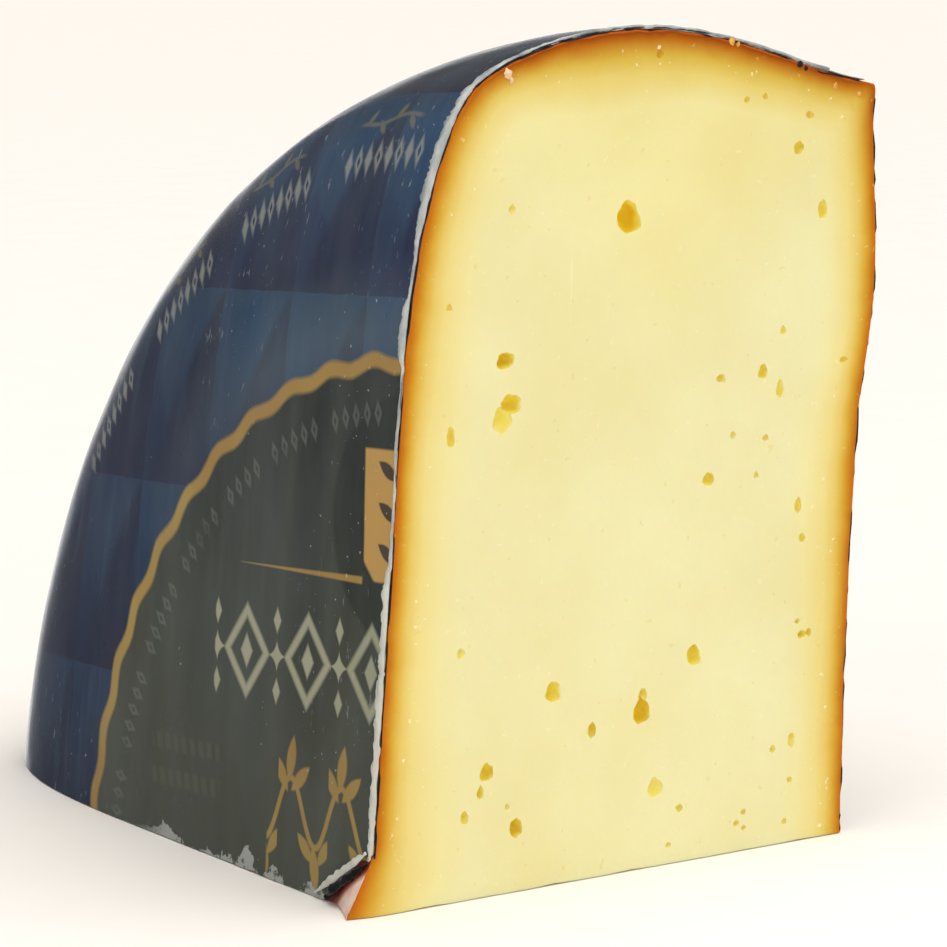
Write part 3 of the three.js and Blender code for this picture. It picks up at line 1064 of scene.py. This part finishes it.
feed(tree, shader.inputs["Base Color"], shade)
feed(tree, shader.inputs["Roughness"], ramp(tree, crease, [(0.3, grey(0.16)), (0.7, grey(0.36))]))
shader.inputs["Specular IOR Level"].default_value = 0.35
bump(tree, shader, crease, 0.45, 0.5)
clear.data.materials.append(milky)
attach(clear, "root")


# ---- Crumbs ----
# A few crumbs of orange paste, flakes of pale rind and chips of coating. The knife left them
# stuck to the top edge of the cut. Each has its place, its size in mm and what it is made of.
crumb_places = [
    (81.2, 0.1, 154.3, 0.62, "paste"), (82.6, 0.1, 153.7, 0.42, "paste"),
    (97.4, 0.0, 149.4, 0.60, "dark"), (98.8, 0.0, 148.7, 0.40, "dark"),
    (106.0, 0.1, 145.2, 0.50, "paste"), (111.8, 0.1, 143.4, 0.50, "paste"),
    (30.3, 0.0, 150.0, 0.75, "pale"), (31.2, 0.0, 148.8, 0.50, "pale"),
    (64.2, 0.1, 153.6, 0.42, "pale"),
]
flake, tree, shader = material("pale_flake")
shade = ramp(tree, grain(tree, 500, 3), [(0.3, dye(232, 186, 140)), (0.7, dye(248, 222, 186))])
feed(tree, shader.inputs["Base Color"], shade)
shader.inputs["Roughness"].default_value = 0.5
orange, tree, shader = material("orange_crumb")
shade = ramp(tree, grain(tree, 500, 3), [(0.3, dye(206, 120, 30)), (0.7, dye(240, 188, 96))])
feed(tree, shader.inputs["Base Color"], shade)
shader.inputs["Roughness"].default_value = 0.42
crumb_finish = {"paste": orange, "dark": dark, "pale": flake}
for number, (x, y, z, size, kind) in enumerate(crumb_places):
    crumb = ball(3)
    crumb.name = "crumb_%d" % (number + 1)
    for vertex in crumb.data.vertices:
        way = vertex.co.normalized()
        lump = 1 + 0.5 * noise.noise(way * 1.6 + Vector((number * 5, 0, 0)))
        out = Vector((way.x, way.y * 0.6, way.z * 1.2)) * size * lump
        vertex.co = foot + (Vector((x, y, z)) + out) * mm
    bpy.ops.object.shade_smooth_by_angle(angle=math.radians(60))
    crumb.data.materials.append(crumb_finish[kind])
    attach(crumb, "root")


# ---- Studio ----
# A pale sheet of card under the cheese, a broad soft light overhead and soft lamps in front and
# at the left. A lamp behind acts as a white card, which shows only as a sheen on the film.
bpy.ops.object.select_all(action="DESELECT")
bpy.ops.mesh.primitive_plane_add(size=14, location=(0, 0, -0.0002))
card = bpy.context.object
card.name = "card_floor"
white, tree, shader = material("pale_card")
shade = ramp(tree, grain(tree, 40, 2), [(0.3, (0.985, 0.925, 0.855, 1)), (0.7, (0.995, 0.94, 0.87, 1))])
feed(tree, shader.inputs["Base Color"], shade)
shader.inputs["Roughness"].default_value = 0.9
shader.inputs["Specular IOR Level"].default_value = 0.0
card.data.materials.append(white)
card.visible_glossy = False

world = bpy.data.worlds.new("studio")
bpy.context.scene.world = world
world.use_nodes = True
sky = world.node_tree.nodes["Background"]
sky.inputs["Color"].default_value = (1.0, 0.985, 0.96, 1)
sky.inputs["Strength"].default_value = 0.18


def soft_light(name, place, aim, size, power):
    """A large square lamp at a place, turned to face its aim."""
    bpy.ops.object.select_all(action="DESELECT")
    bpy.ops.object.light_add(type="AREA", location=place)
    lamp = bpy.context.object
    lamp.name = name
    lamp.data.size = size
    lamp.data.energy = power
    lamp.rotation_euler = (Vector(aim) - Vector(place)).to_track_quat("-Z", "Y").to_euler()


soft_light("front", (-0.35, -1.68, 0.6), (0, 0, 0.08), 0.9, 6.3)
soft_light("left", (-1.7, -0.45, 0.75), (0, 0, 0.06), 1.3, 6.5)
soft_light("white_card_behind", (0.82, 1.80, -0.14), (0, 0, 0.08), 1.05, 5.6)
bpy.context.object.visible_diffuse = False
bpy.ops.object.select_all(action="DESELECT")
overhead_turn = (math.radians(12), math.radians(8), 0)
bpy.ops.object.light_add(type="SUN", location=(0, 0, 2), rotation=overhead_turn)
overhead = bpy.context.object
overhead.name = "overhead"
overhead.data.energy = 2.68
overhead.data.angle = math.radians(70)
overhead.visible_glossy = False

bpy.ops.object.camera_add()
camera = bpy.context.object
across = Vector((0.8208, -0.5712, 0))
upwards = Vector((0.0903, 0.1298, 0.9874))
towards = Vector((-0.5640, -0.8105, 0.1582))
camera_place = foot + Vector((-387.2, -589.4, 193.7)) * mm
camera_turn = Matrix((across, upwards, towards)).transposed().to_4x4()
camera.matrix_world = Matrix.Translation(camera_place) @ camera_turn
camera.data.lens = 153.96
camera.data.sensor_width = 36
scene = bpy.context.scene
scene.camera = camera
scene.view_settings.view_transform = "Standard"
